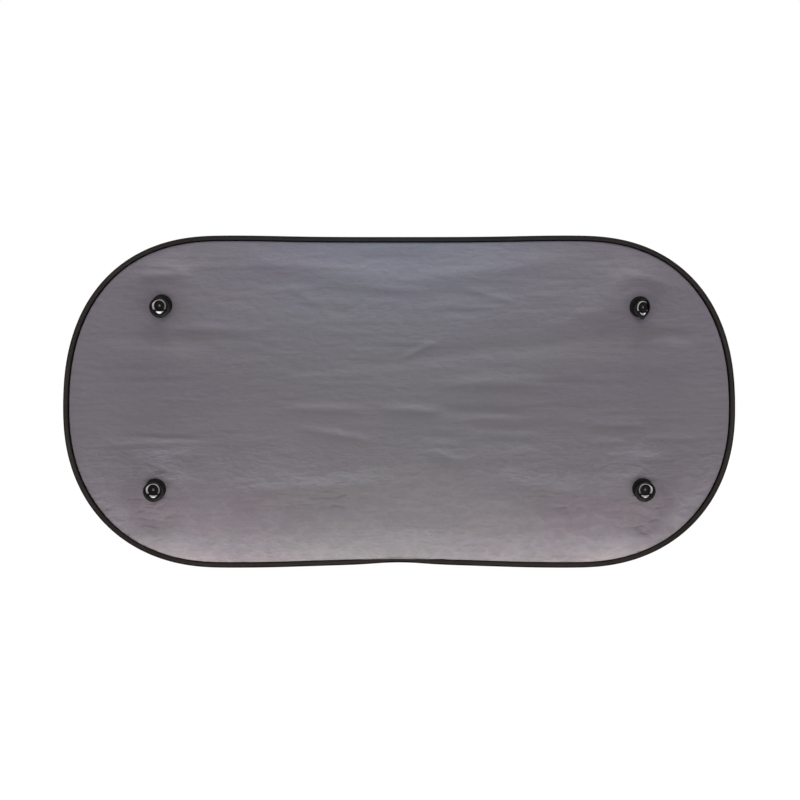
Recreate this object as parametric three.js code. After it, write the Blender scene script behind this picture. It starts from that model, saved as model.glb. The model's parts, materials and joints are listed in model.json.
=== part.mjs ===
import * as THREE from 'three';
import { mergeVertices } from 'three/addons/utils/BufferGeometryUtils.js';

// A fold-up sunshade for the rear window of a car: one woven sheet stretched in a sprung steel
// hoop, with four suction cups. Millimetres, +Z up, +X to the right of somebody who looks at the
// glass side along +Y. The origin lies on the glass, in front of the middle of the sheet.

// Outline of the shade, measured over the binding
const overallLength = 1000;
const upperHeight = 257.6;
const lowerHeight = 236.6;
const widestLevel = -10.5;
const cornerReach = 236;
const upperFullness = 2.34;
const lowerFullness = 2.21;
const topSag = 2.3;
const topSagHalf = 230;
const topSagPower = 4;
const waistRise = 5.0;
const waistHalf = 230;
const waistPower = 2;
const jointRise = 3.6;
const jointSpread = 40;

// Sheet, wire hoop, crimp sleeve and binding tape
const sheetThickness = 0.5;
const sheetTuck = 2.0;
const wireDiameter = 1.6;
const wireEndGap = 0.6;
const sleeveWall = 0.35;
const sleeveLength = 22;
const tapeThickness = 0.5;
const hemWidth = 7.8;
const sleeveSwell = 14;
const seatGap = 0.3;

// Reinforcing patches round the four holes
const patchRadius = 15.8;
const patchThickness = 0.6;
const holeRadius = 4.2;

// Suction cup, heights in front of the middle of the sheet: lip, hollow wall, floor and its gate
const standOff = 15.5;
const lipRadius = 15.7;
const lipEdge = 0.35;
const lipFlat = 1.0;
const wallRadius = 12.2;
const wallHeight = 13.0;
const wallBulge = 0.5;
const floorRadius = 7.4;
const floorHeight = 9.0;
const gateRadius = 1.5;
const gateTaper = 0.45;
const gateHeight = 0.5;

// Suction cup, outside: skirt, bell, boss, and the neck that passes through the hole
const skirtBevel = 0.6;
const skirtFlare = 0.6;
const bellWall = 2.2;
const bellHeel = 1.8;
const bossRadius = 5.6;
const bossHeight = 4.4;
const bossChamfer = 0.6;
const neckRadius = 3.0;

// Suction cup, the mushroom button that holds it behind the sheet
const buttonRadius = 5.2;
const buttonGap = 4.2;
const buttonThickness = 2.0;
const buttonRim = 0.6;
const buttonChamfer = 0.4;
const crownRadius = 3.2;
const crownShoulder = 0.7;

// Holes, set in from the end and from the top or bottom edge, and how far the slack sheet lets each
// cup droop and turn outwards from square, degrees
const cupPlaces = [
  { name: 'top_left', side: -1, upper: true, endInset: 147.2, edgeInset: 103.4, droop: 20, turn: 8 },
  { name: 'top_right', side: 1, upper: true, endInset: 142, edgeInset: 106.2, droop: 18, turn: 17 },
  { name: 'bottom_left', side: -1, upper: false, endInset: 137.7, edgeInset: 117.2, droop: 16, turn: 6 },
  { name: 'bottom_right', side: 1, upper: false, endInset: 137.8, edgeInset: 117.6, droop: 17.5, turn: 9 },
];

// Fineness of the facets
const cornerSteps = 20;
const topSteps = 14;
const bottomSteps = 12;
const jointCrowding = 1.4;
const cupSides = 28;
const patchSides = 32;
const holeSides = 24;
const wireSides = 8;
const sleeveSides = 16;
const foldSteps = 8;
const foldBackSteps = 10;

// Sizes that follow from the ones above
const wireRadius = wireDiameter / 2;
const sleeveBore = wireRadius + seatGap;
const sleeveRadius = sleeveBore + sleeveWall;
const flatShare = Math.cos(Math.PI / foldSteps);
const wireFold = (wireRadius + seatGap) / flatShare;
const sleeveFold = (sleeveRadius + seatGap) / flatShare;
const hoopInset = wireFold + tapeThickness;
const slotHalf = sheetThickness / 2 + seatGap;
const legHalf = slotHalf + tapeThickness;
const legReach = hemWidth - hoopInset;
const straightHalf = overallLength / 2 - cornerReach;

function smooth(t) {
  const s = THREE.MathUtils.clamp(t, 0, 1);
  return s * s * (3 - 2 * s);
}

// A shallow dip that starts level, at its full depth in the middle
function dip(x, depth, half, power) {
  const q = Math.min(Math.abs(x) / half, 1);
  return depth * (1 - q ** power) ** 2;
}

// The narrow rise of the bottom edge where the ends of the hoop meet
function jointLift(x) {
  return jointRise * Math.exp(-((x / jointSpread) ** 2));
}

function topEdge(x) {
  return widestLevel + upperHeight - hoopInset - dip(x, topSag, topSagHalf, topSagPower);
}

function bottomEdge(x) {
  const level = widestLevel - lowerHeight + hoopInset;
  return level + dip(x, waistRise, waistHalf, waistPower) + jointLift(x);
}

// One quarter of an end, from its side (0) to its flat edge (1): a superellipse
function cornerPoint(t, height, fullness) {
  const angle = t * Math.PI / 2;
  const reach = (cornerReach - hoopInset) * Math.cos(angle) ** (2 / fullness);
  const rise = (height - hoopInset) * Math.sin(angle) ** (2 / fullness);
  return new THREE.Vector2(straightHalf + reach, rise);
}

// Right half of the hoop's centre line, from the joint at the bottom to the middle of the top
function rightHalf() {
  const points = [];
  for (let i = 0; i < bottomSteps; i += 1) {
    const x = straightHalf * (i / bottomSteps) ** jointCrowding;
    points.push(new THREE.Vector2(x, bottomEdge(x)));
  }
  for (let i = cornerSteps; i > 0; i -= 1) {
    const p = cornerPoint(i / cornerSteps, lowerHeight, lowerFullness);
    points.push(new THREE.Vector2(p.x, widestLevel - p.y));
  }
  for (let i = 0; i < cornerSteps; i += 1) {
    const p = cornerPoint(i / cornerSteps, upperHeight, upperFullness);
    points.push(new THREE.Vector2(p.x, widestLevel + p.y));
  }
  for (let i = 0; i <= topSteps / 2; i += 1) {
    const x = straightHalf * (1 - i / (topSteps / 2));
    points.push(new THREE.Vector2(x, topEdge(x)));
  }
  return points;
}

// The closed centre line of the hoop, anticlockwise, with the direction into the sheet at each point
function hoopStations() {
  const right = rightHalf();
  const left = right.slice(1, -1).reverse().map((p) => new THREE.Vector2(-p.x, p.y));
  const line = right.concat(left);
  return line.map((point, i) => {
    const before = line[(i + line.length - 1) % line.length];
    const after = line[(i + 1) % line.length];
    const along = after.clone().sub(before).normalize();
    return { point, along, inward: new THREE.Vector2(-along.y, along.x) };
  });
}

// Sweeps a section round the stations. A section is a list of (inward, back) offsets, clockwise
// as seen along the path; an open sweep gets flat ends.
function sweep(stations, sectionAt, closed) {
  const rings = stations.map((station) => sectionAt(station));
  const sides = rings[0].length;
  const positions = [];
  rings.forEach((ring, i) => {
    const { point, inward } = stations[i];
    ring.forEach(([s, y]) => {
      positions.push(point.x + inward.x * s, y, point.y + inward.y * s);
    });
  });
  const index = [];
  const spans = closed ? rings.length : rings.length - 1;
  for (let i = 0; i < spans; i += 1) {
    const here = i * sides;
    const next = ((i + 1) % rings.length) * sides;
    for (let j = 0; j < sides; j += 1) {
      const k = (j + 1) % sides;
      index.push(here + j, next + j, next + k);
      index.push(here + j, next + k, here + k);
    }
  }
  if (!closed) {
    const last = (rings.length - 1) * sides;
    for (let j = 1; j < sides - 1; j += 1) {
      index.push(0, j, j + 1);
      index.push(last, last + j + 1, last + j);
    }
  }
  const geometry = new THREE.BufferGeometry();
  geometry.setAttribute('position', new THREE.Float32BufferAttribute(positions, 3));
  geometry.setIndex(index);
  geometry.computeVertexNormals();
  return geometry;
}

// Points of an arc about the wire, from one angle to another, measured from the inward direction
function arc(radius, from, to, steps) {
  const points = [];
  for (let i = 0; i <= steps; i += 1) {
    const angle = THREE.MathUtils.lerp(from, to, i / steps);
    points.push([radius * Math.cos(angle), radius * Math.sin(angle)]);
  }
  return points;
}

// Binding tape: folded round the wire, its two legs sewn either side of the sheet. It swells over
// the sleeve, and its inner edge stays straight where the hoop's joint lifts the outer edge.
function bindingSection({ point }) {
  const nearJoint = point.y < 0 && Math.abs(point.x) < straightHalf;
  const lift = nearJoint ? jointLift(point.x) : 0;
  const past = Math.abs(point.x) - sleeveLength / 2 - seatGap;
  const swell = nearJoint ? 1 - smooth(past / sleeveSwell) : 0;
  const inner = THREE.MathUtils.lerp(wireFold, sleeveFold, swell);
  const outer = inner + tapeThickness;
  const legEnd = legReach - lift;
  const innerStart = Math.asin(slotHalf / inner);
  const outerStart = Math.asin(legHalf / outer);
  const around = 2 * Math.PI;
  const outside = arc(outer, outerStart, around - outerStart, foldBackSteps);
  const inside = arc(inner, around - innerStart, innerStart, foldSteps);
  const section = [[legEnd, legHalf], ...outside, [legEnd, -legHalf], [legEnd, -slotHalf], ...inside];
  section.push([legEnd, slotHalf]);
  return section.map(([s, y]) => [s, standOff + y]);
}

function bindingGeometry(stations) {
  return sweep(stations, bindingSection, true);
}

// The wire is one length of spring steel: its ends meet, with a small gap, in the sleeve
function wireGeometry(stations) {
  const [joint] = stations;
  const end = (side) => {
    const point = joint.point.clone().addScaledVector(joint.along, side * wireEndGap / 2);
    return { ...joint, point };
  };
  const run = [end(1), ...stations.slice(1), end(-1)];
  const round = arc(wireRadius, 0, 2 * Math.PI, wireSides).slice(0, -1);
  return sweep(run, () => round.map(([s, y]) => [s, standOff + y]), false);
}

function sleeveGeometry() {
  const half = sleeveLength / 2;
  const profile = [
    new THREE.Vector2(sleeveBore, -half),
    new THREE.Vector2(sleeveRadius, -half),
    new THREE.Vector2(sleeveRadius, half),
    new THREE.Vector2(sleeveBore, half),
    new THREE.Vector2(sleeveBore, -half),
  ];
  return closedBody(new THREE.LatheGeometry(profile, sleeveSides));
}

// Where a cup's hole lies: its insets are measured from the ends and edges of the shade
function holeCentre({ side, upper, endInset, edgeInset }) {
  const x = side * (overallLength / 2 - endInset);
  const edge = upper ? upperHeight - edgeInset : edgeInset - lowerHeight;
  return new THREE.Vector2(x, widestLevel + edge);
}

// The sheet reaches between the legs of the tape, just short of the wire
function sheetGeometry(stations) {
  const rim = stations.map(({ point, inward }) => point.clone().addScaledVector(inward, sheetTuck));
  const shape = new THREE.Shape(rim);
  for (const cupPlace of cupPlaces) {
    const centre = holeCentre(cupPlace);
    const hole = new THREE.Path();
    hole.absarc(centre.x, centre.y, holeRadius, 0, 2 * Math.PI, true);
    shape.holes.push(hole);
  }
  const options = { depth: sheetThickness, bevelEnabled: false, curveSegments: holeSides / 2 };
  return closedBody(new THREE.ExtrudeGeometry(shape, options));
}

function patchGeometry() {
  const shape = new THREE.Shape();
  shape.absarc(0, 0, patchRadius, 0, 2 * Math.PI, false);
  const hole = new THREE.Path();
  hole.absarc(0, 0, holeRadius, 0, 2 * Math.PI, true);
  shape.holes.push(hole);
  const options = { depth: patchThickness, bevelEnabled: false, curveSegments: patchSides / 2 };
  return closedBody(new THREE.ExtrudeGeometry(shape, options));
}

// Half section of a cup, as (radius, height in front of the sheet): the button, the neck, the boss,
// the back of the bell, the flat lip, the hollow wall and the flat floor with its moulding gate
function cupProfile() {
  const buttonBack = -(buttonGap + buttonThickness);
  const lipBack = standOff - lipEdge * 2;
  const rimIn = lipRadius - lipEdge;
  const points = [
    [0, buttonBack],
    [crownRadius, buttonBack],
    [buttonRadius - buttonChamfer, buttonBack + crownShoulder],
    [buttonRadius, -buttonGap - buttonRim],
    [buttonRadius - buttonChamfer, -buttonGap],
    [neckRadius, -buttonGap],
    [neckRadius, bossHeight],
    [bossRadius - bossChamfer, bossHeight],
    [bossRadius, bossHeight + bossChamfer],
    [bossRadius, floorHeight - bellWall],
    [floorRadius + bellHeel, floorHeight - bellWall / 2],
    [wallRadius + skirtFlare, wallHeight - bellWall / 2],
    [lipRadius - skirtBevel, lipBack],
    [lipRadius, lipBack + lipEdge],
    [rimIn, standOff],
    [rimIn - lipFlat, standOff],
    [wallRadius, wallHeight],
    [(wallRadius + floorRadius) / 2 + wallBulge, (wallHeight + floorHeight) / 2],
    [floorRadius, floorHeight],
    [gateRadius, floorHeight],
    [gateRadius - gateTaper, floorHeight + gateHeight],
    [0, floorHeight + gateHeight],
  ];
  return points.map(([r, h]) => new THREE.Vector2(r, h));
}

function cupGeometry() {
  return closedBody(new THREE.LatheGeometry(cupProfile(), cupSides));
}

// Keeps only the shared positions, so that the surface is one closed skin
function closedBody(geometry) {
  geometry.deleteAttribute('normal');
  geometry.deleteAttribute('uv');
  const body = mergeVertices(geometry, 1e-4);
  body.computeVertexNormals();
  return body;
}

// Materials
const cloth = new THREE.MeshStandardMaterial({ color: 0x77747a, roughness: 0.75, metalness: 0 });
const tape = new THREE.MeshStandardMaterial({ color: 0x2c2a2c, roughness: 0.85, metalness: 0 });
const spring = new THREE.MeshStandardMaterial({ color: 0x8d9094, roughness: 0.3, metalness: 1 });
const crimp = new THREE.MeshStandardMaterial({ color: 0xa3a6a8, roughness: 0.35, metalness: 1 });
const backing = new THREE.MeshStandardMaterial({ color: 0x242424, roughness: 0.6, metalness: 0 });
const vinyl = new THREE.MeshStandardMaterial({ color: 0x141414, roughness: 0.12, metalness: 0 });

function node(name, geometry, material) {
  const mesh = new THREE.Mesh(geometry, material);
  mesh.name = name;
  return mesh;
}

// An upright flat piece, drawn in the XZ plane, whose front face stands at the depth given
function upright(mesh, thickness, front) {
  mesh.rotation.x = Math.PI / 2;
  mesh.position.y = front + thickness;
  return mesh;
}

const sunshade = new THREE.Group();
const stations = hoopStations();
const sheetFront = standOff - sheetThickness / 2;
const sheetBack = standOff + sheetThickness / 2;

const sheet = node('shade_panel', sheetGeometry(stations), cloth);
sunshade.add(upright(sheet, sheetThickness, sheetFront));
sunshade.add(node('edge_binding', bindingGeometry(stations), tape));
sunshade.add(node('spring_wire', wireGeometry(stations), spring));

// The sleeve lies along X; the hoop bows a little inside it, so it sits halfway up that bow
const sleeve = node('wire_sleeve', sleeveGeometry(), crimp);
const bow = bottomEdge(0) - bottomEdge(sleeveLength / 2);
sleeve.rotation.z = Math.PI / 2;
sleeve.position.set(0, standOff, bottomEdge(0) - bow / 2);
sunshade.add(sleeve);

for (const cupPlace of cupPlaces) {
  const { name, side, droop, turn } = cupPlace;
  const { x, y: z } = holeCentre(cupPlace);
  const front = upright(node(`patch_front_${name}`, patchGeometry(), backing), patchThickness, 0);
  front.position.add(new THREE.Vector3(x, sheetFront - seatGap - patchThickness, z));
  const rear = upright(node(`patch_rear_${name}`, patchGeometry(), backing), patchThickness, 0);
  rear.position.add(new THREE.Vector3(x, sheetBack + seatGap, z));
  sunshade.add(front, rear);

  // The hinge group turns about the middle of the hole; the cup's own axis points at the glass
  const hinge = new THREE.Group();
  hinge.position.set(x, standOff, z);
  hinge.rotation.order = 'ZXY';
  hinge.rotation.z = THREE.MathUtils.degToRad(side * turn);
  hinge.rotation.x = THREE.MathUtils.degToRad(droop);
  const cup = node(`suction_cup_${name}`, cupGeometry(), vinyl);
  cup.rotation.x = Math.PI;
  hinge.add(cup);
  sunshade.add(hinge);
}

export default sunshade;
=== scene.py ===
# %% [markdown]
# # A fold-up sunshade for a car's rear window
# The shade is one woven sheet in a sprung wire hoop. A folded tape binds the edge and hides the
# wire, and four soft vinyl cups, each held between two round backing patches, stick it to the
# glass. The measured model gives every place and size. This lesson adds what plain solids can't
# carry: the wrinkles of the cloth, the seams, the give of soft cups, the finishes and the light.

# %% Load the frame
import json
import math
import bpy
import numpy as np
from mathutils import Matrix, Vector


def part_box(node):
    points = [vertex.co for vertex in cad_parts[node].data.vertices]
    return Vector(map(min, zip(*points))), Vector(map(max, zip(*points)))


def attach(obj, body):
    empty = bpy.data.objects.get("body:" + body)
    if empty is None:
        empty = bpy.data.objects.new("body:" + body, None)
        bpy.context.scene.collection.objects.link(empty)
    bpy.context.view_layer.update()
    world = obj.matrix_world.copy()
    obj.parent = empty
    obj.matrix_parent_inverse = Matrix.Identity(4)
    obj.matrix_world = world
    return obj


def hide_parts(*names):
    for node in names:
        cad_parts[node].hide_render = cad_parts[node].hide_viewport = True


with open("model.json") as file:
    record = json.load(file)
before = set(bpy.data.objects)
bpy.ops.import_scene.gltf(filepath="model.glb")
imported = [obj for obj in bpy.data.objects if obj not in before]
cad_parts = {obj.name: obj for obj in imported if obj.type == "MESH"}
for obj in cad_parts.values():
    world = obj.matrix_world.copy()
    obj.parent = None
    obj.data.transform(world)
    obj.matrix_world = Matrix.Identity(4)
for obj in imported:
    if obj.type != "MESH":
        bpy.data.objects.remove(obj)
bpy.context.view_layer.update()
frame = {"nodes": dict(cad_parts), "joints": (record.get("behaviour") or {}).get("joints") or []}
MM = 0.001

# %% [markdown]
# ## Camera
# A product like this is photographed square on, so that its outline can be read. The camera
# stands well back, level with the middle of the sheet, so that the cups near the ends are seen
# almost from straight ahead. Its field is given by the width that the picture takes in there.

# %% Set the camera
SHEET_Y = sum(corner[1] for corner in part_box("shade_panel")) / 2
CAMERA_DISTANCE = 2.4
PICTURE_WIDTH = 1190.4 * MM
PICTURE_CENTRE = (1.3 * MM, 2.2 * MM)
SENSOR_WIDTH = 36

camera_data = bpy.data.cameras.new("studio_camera")
camera_data.sensor_fit = "HORIZONTAL"
camera_data.sensor_width = SENSOR_WIDTH
camera_data.lens = SENSOR_WIDTH * CAMERA_DISTANCE / PICTURE_WIDTH
camera = bpy.data.objects.new("studio_camera", camera_data)
bpy.context.scene.collection.objects.link(camera)
camera.location = (PICTURE_CENTRE[0], SHEET_Y - CAMERA_DISTANCE, PICTURE_CENTRE[1])
camera.rotation_euler = (math.radians(90), 0, 0)
bpy.context.scene.camera = camera
print(f"lens {camera_data.lens:.1f} mm, {CAMERA_DISTANCE} m from the sheet")

# %% [markdown]
# ## Studio lamps
# A wide key light stands high in front and gives the black pieces their soft shine. A long box
# overhead rakes down the cloth, so that each fold gets a light upper side and a dark under side.
# A strip close under the bottom edge stands for the pale table, and a weak blue one near the top
# for the daylight of a window. Both are kept out of reflections, because in a glossy cup a thin
# lamp shows as a hard line. Two side boxes light the lips of the cups, and a box behind lights
# the side that faces into the car.

# %% Light the studio
SIDE_PLACE, SIDE_SIZE, SIDE_POWER = 1.3, (0.5, 1.0), 2.4
TABLE_TINT = (1, 0.9, 0.83)
DAYLIGHT_TINT = (0.14, 0.36, 1)


def soft_box(name, place, size, power, colour=(1, 1, 1), aim=(0, 0, 0), reflected=True):
    """A lamp that looks at the middle of the sheet, unless an aim is given."""
    lamp = bpy.data.lights.new(name, "AREA")
    lamp.shape = "RECTANGLE"
    lamp.size, lamp.size_y = size
    lamp.energy = power
    lamp.color = colour
    obj = bpy.data.objects.new(name, lamp)
    bpy.context.scene.collection.objects.link(obj)
    obj.location = place
    obj.rotation_euler = (Vector(aim) - Vector(place)).to_track_quat("-Z", "Y").to_euler()
    obj.visible_camera = False
    obj.visible_glossy = reflected
    print(f"{name}: {power} W")


soft_box("key_box", place=(0, -1.6, 0.85), size=(3.0, 0.5), power=9)
soft_box("overhead_box", place=(0, -0.32, 1.5), size=(1.5, 0.5), power=37)
soft_box("table_strip", place=(0, -0.06, -0.26), size=(1.3, 0.03), power=0.8, colour=TABLE_TINT,
         aim=(0, 0, -0.23), reflected=False)
soft_box("left_box", (-SIDE_PLACE, -SIDE_PLACE, -0.3), SIDE_SIZE, SIDE_POWER)
soft_box("right_box", (SIDE_PLACE, -SIDE_PLACE, -0.3), SIDE_SIZE, SIDE_POWER)
soft_box("window_glow", place=(0, -0.12, 0.34), size=(0.32, 0.04), power=0.2,
         colour=DAYLIGHT_TINT, aim=(0, 0, 0.18), reflected=False)
soft_box("back_box", place=(0, 1.5, 0.8), size=(1.6, 0.6), power=24)

# %% [markdown]
# ## Makers of nodes
# A finish without pictures is a network of small nodes, and so is the light of the world. These
# makers let such a network be read like a formula: each adds one node, feeds it with values or
# with the outputs of other nodes, and hands back its own output.

# %% Makers for values


def add_node(tree, kind, inputs=None, **settings):
    """One shader node; inputs maps a socket's name or number to a value or to another output."""
    node = tree.nodes.new("ShaderNode" + kind)
    for key, value in settings.items():
        setattr(node, key, value)
    for key, value in (inputs or {}).items():
        if isinstance(value, bpy.types.NodeSocket):
            tree.links.new(value, node.inputs[key])
        else:
            node.inputs[key].default_value = value
    return node


def math_of(tree, operation, *values):
    return add_node(tree, "Math", dict(enumerate(values)), operation=operation).outputs[0]


def chain(tree, operation, first, *others):
    """The same operation from left to right over two or more values."""
    for other in others:
        first = math_of(tree, operation, first, other)
    return first


def times(tree, *values):
    return chain(tree, "MULTIPLY", *values)


def plus(tree, *values):
    return chain(tree, "ADD", *values)


def largest(tree, *values):
    return chain(tree, "MAXIMUM", *values)


def between(tree, value, low, high, from_low=0.0, from_high=1.0):
    """Runs from low to high while the value runs from from_low to from_high, and stays inside."""
    return add_node(tree, "MapRange", {"Value": value, "From Min": from_low, "From Max": from_high,
                                       "To Min": low, "To Max": high}).outputs[0]


def rises(tree, value, start, end):
    """Zero up to the start, then up to one at the end."""
    return between(tree, value, 0, 1, start, end)


def falls(tree, value, start, end):
    """One up to the start, then down to zero at the end."""
    return between(tree, value, 1, 0, start, end)


def axes(tree, vector):
    """The three parts of a place or a direction."""
    return add_node(tree, "SeparateXYZ", {0: vector}).outputs


print("makers for values: math, ranges and the parts of a vector")

# %% [markdown]
# ## World
# The world is white where the camera, a reflection or a view through something looks, and only a
# faint fill elsewhere. So the background is clean white, and yet the folds keep their shadows.

# %% Light the world
WORLD_FILL = 0.08
FILL_TINT = (0.97, 0.98, 1, 1)
WHITE = (1, 1, 1, 1)

world = bpy.data.worlds.new("studio_world")
bpy.context.scene.world = world
world.use_nodes = True
sky = world.node_tree
sky.nodes.clear()
ray = add_node(sky, "LightPath").outputs
seen = largest(sky, ray["Is Camera Ray"], ray["Is Glossy Ray"], ray["Is Transmission Ray"])
fill = add_node(sky, "Background", {"Color": FILL_TINT, "Strength": WORLD_FILL})
white = add_node(sky, "Background", {"Color": WHITE})
sky_mix = add_node(sky, "MixShader", {"Fac": seen, 1: fill.outputs[0], 2: white.outputs[0]})
add_node(sky, "OutputWorld", {"Surface": sky_mix.outputs[0]})

bpy.context.scene.view_settings.view_transform = "Standard"
print("world of", len(sky.nodes), "nodes, fill", WORLD_FILL)

# %% [markdown]
# ## Makers of finishes
# A finish starts from one principled shader with average values. Patterns are then laid in the
# place of the object itself, or along a map of the piece, so they stay put when a piece moves.

# %% Makers for colour and relief


def socket_name(key):
    """Turns base_color into Base Color, as the shader calls it."""
    return key.replace("_", " ").title().replace("Ior", "IOR")


def new_material(name, colour, roughness, **sockets):
    """A material with one principled shader; sockets hold the values that are the same all over."""
    material = bpy.data.materials.new(name)
    material.use_nodes = True
    shader = material.node_tree.nodes["Principled BSDF"]
    shader.inputs["Base Color"].default_value = (*colour, 1)
    shader.inputs["Roughness"].default_value = roughness
    for key, value in sockets.items():
        shader.inputs[socket_name(key)].default_value = value
    return material, material.node_tree, shader


def chart(tree, source="Object"):
    """Where a point lies: in the object's own space, or on the piece's map with source UV."""
    return add_node(tree, "TexCoord").outputs[source]


def stretched(tree, scale, turn=(0, 0, 0), source="Object"):
    """That place, scaled by repeats per metre along each axis."""
    return add_node(tree, "Mapping", {"Vector": chart(tree, source), "Scale": scale,
                                      "Rotation": turn}).outputs[0]


def noise(tree, vector, detail=2.0, roughness=0.5):
    return add_node(tree, "TexNoise", {"Vector": vector, "Scale": 1.0, "Detail": detail,
                                       "Roughness": roughness}).outputs[0]


def wave(tree, repeats):
    """A sine that runs once for each repeat."""
    return math_of(tree, "SINE", times(tree, repeats, 2 * math.pi))


def blend(tree, factor, low, high):
    """Mixes two colours, each a red, green and blue value or the output of a node."""
    first, second = [end if isinstance(end, bpy.types.NodeSocket) else (*end, 1)
                     for end in (low, high)]
    return add_node(tree, "Mix", {"Factor": factor, 6: first, 7: second},
                    data_type="RGBA").outputs[2]


def bump(tree, height, distance, strength=1.0, below=None):
    """Relief in the light only; below is the relief that it is laid over."""
    inputs = {"Height": height, "Distance": distance, "Strength": strength}
    if below is not None:
        inputs["Normal"] = below
    return add_node(tree, "Bump", inputs).outputs[0]


def feed(tree, shader, **outputs):
    """Links outputs of other nodes to the shader's sockets."""
    for key, output in outputs.items():
        tree.links.new(output, shader.inputs[socket_name(key)])


print("makers for finishes: colour, noise, waves and relief")

# %% [markdown]
# ## Floor
# The shade stands free over a plain pale floor. Where the camera or a reflection looks, the floor
# glows nearly white, so that it melts into the world behind it whatever the lamps do.

# %% Lay the floor
FLOOR_LEVEL = -0.95
FLOOR_SIZE = 9
FLOOR_GLOW = 0.92

bpy.ops.mesh.primitive_plane_add(size=FLOOR_SIZE, location=(0, 0, FLOOR_LEVEL))
floor = bpy.context.object
floor.name = "studio_floor"

floor_paint, tree, shader = new_material("studio_floor_paint", (0.9, 0.9, 0.9), 0.6,
                                         emission_color=WHITE)
speckle = noise(tree, stretched(tree, (4, 4, 4)), detail=3)
ray = add_node(tree, "LightPath").outputs
looked_at = largest(tree, ray["Is Camera Ray"], ray["Is Glossy Ray"])
feed(tree, shader, emission_strength=times(tree, looked_at, FLOOR_GLOW),
     base_color=blend(tree, speckle, (0.88, 0.88, 0.88), (0.92, 0.92, 0.92)))
floor.data.materials.append(floor_paint)
print("floor at", FLOOR_LEVEL, "m")

# %% [markdown]
# ## Helpers for shaping
# Blender's operators work on whatever is selected, so each step starts by deselecting all and
# choosing one object. Long lists of corners are moved as arrays, because thousands of cloth
# points are bent by one formula.

# %% Selection, modifiers and points


def choose(obj):
    bpy.ops.object.select_all(action="DESELECT")
    obj.select_set(True)
    bpy.context.view_layer.objects.active = obj
    return obj


def apply_modifier(obj, kind, **settings):
    choose(obj)
    modifier = obj.modifiers.new(kind.lower(), kind)
    for key, value in settings.items():
        setattr(modifier, key, value)
    bpy.ops.object.modifier_apply(modifier=modifier.name)
    return obj


def copy_of(node_name, new_name):
    """A loose copy of a measured solid, its corners welded, free to be reshaped."""
    mesh = frame["nodes"][node_name].data.copy()
    mesh.materials.clear()
    obj = bpy.data.objects.new(new_name, mesh)
    bpy.context.scene.collection.objects.link(obj)
    choose(obj)
    bpy.ops.object.mode_set(mode="EDIT")
    bpy.ops.mesh.select_all(action="SELECT")
    bpy.ops.mesh.remove_doubles(threshold=0.01 * MM)
    bpy.ops.object.mode_set(mode="OBJECT")
    return obj


def points_of(obj):
    flat = np.empty(len(obj.data.vertices) * 3)
    obj.data.vertices.foreach_get("co", flat)
    return flat.reshape(-1, 3)


def move_points(obj, points):
    obj.data.vertices.foreach_set("co", np.ascontiguousarray(points).ravel())
    obj.data.update()


def corner_points(obj):
    """For each face corner, the number of its point."""
    numbers = np.empty(len(obj.data.loops), dtype=int)
    obj.data.loops.foreach_get("vertex_index", numbers)
    return numbers


def add_chart(obj, name, places):
    """A map of the piece, with one place for each face corner."""
    obj.data.uv_layers.new(name=name).data.foreach_set("uv", places.ravel())


def smooth_step(value):
    """Zero below 0, one above 1, and an even curve between."""
    t = np.clip(value, 0, 1)
    return t * t * (3 - 2 * t)


print("smooth step at a quarter of the way:", smooth_step(0.25))

# %% [markdown]
# ## Rim and holes of the frame
# The sheet's rim is read from the measured sheet. Its outline is full and round, so sorting its
# corners by their angle about the middle gives the loop. Each cup's hinge gives the place of its
# hole and the way that the cup leans.

# %% Read the rim and the holes
HOLE_MARGIN = 10 * MM

sheet_cut = copy_of("shade_panel", "sheet_cut")
low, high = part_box("shade_panel")
SHEET_THICKNESS = high.y - low.y
HOLES = [(Vector(joint["pos_m"]), Vector(joint["axis"]).normalized(), joint["child"])
         for joint in frame["joints"]]


def rim_loop(points):
    """The front corners of the rim in order, as x and z. Corners near a hole are the hole's."""
    flat = points[:, [0, 2]]
    away = np.min([np.hypot(flat[:, 0] - p.x, flat[:, 1] - p.z) for p, _, _ in HOLES], axis=0)
    rim = flat[(points[:, 1] < SHEET_Y) & (away > HOLE_MARGIN)]
    return rim[np.argsort(np.arctan2(rim[:, 1], rim[:, 0]))]


RIM = rim_loop(points_of(sheet_cut))
RIM_LENGTH = float(np.sum(np.hypot(*(np.roll(RIM, -1, axis=0) - RIM).T)))
print(len(RIM), "rim corners,", round(RIM_LENGTH, 3), "m round,", len(HOLES), "holes")

# %% [markdown]
# ### Measuring from the rim
# Cloth, tape and seams all follow the rim. So one function tells for any point how far inside
# the rim it lies, how far round the rim that is, and which way leads inwards.

# %% Measure from the rim


def rim_distance(x, z):
    """Depth inside the rim, the run along the rim to the nearest place, and the way inwards."""
    edges = np.roll(RIM, -1, axis=0) - RIM
    lengths = np.hypot(edges[:, 0], edges[:, 1])
    starts = np.concatenate([[0], np.cumsum(lengths)[:-1]])
    nearest = np.full(x.shape, np.inf)
    depth, along = np.zeros(x.shape), np.zeros(x.shape)
    inwards = np.zeros(x.shape + (2,))
    for (ax, az), (rx, rz), length, start in zip(RIM, edges, lengths, starts):
        t = np.clip(((x - ax) * rx + (z - az) * rz) / length**2, 0, 1)
        away = np.hypot(x - ax - t * rx, z - az - t * rz)
        nearer = away < nearest
        nearest = np.where(nearer, away, nearest)
        depth = np.where(nearer, np.copysign(away, rx * (z - az) - rz * (x - ax)), depth)
        along = np.where(nearer, start + t * length, along)
        inwards[nearer] = (-rz / length, rx / length)
    return depth, along, inwards


middle_depth = rim_distance(np.zeros(1), np.zeros(1))[0][0]
print("the middle of the sheet lies", round(middle_depth / MM), "mm inside the rim")

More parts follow.
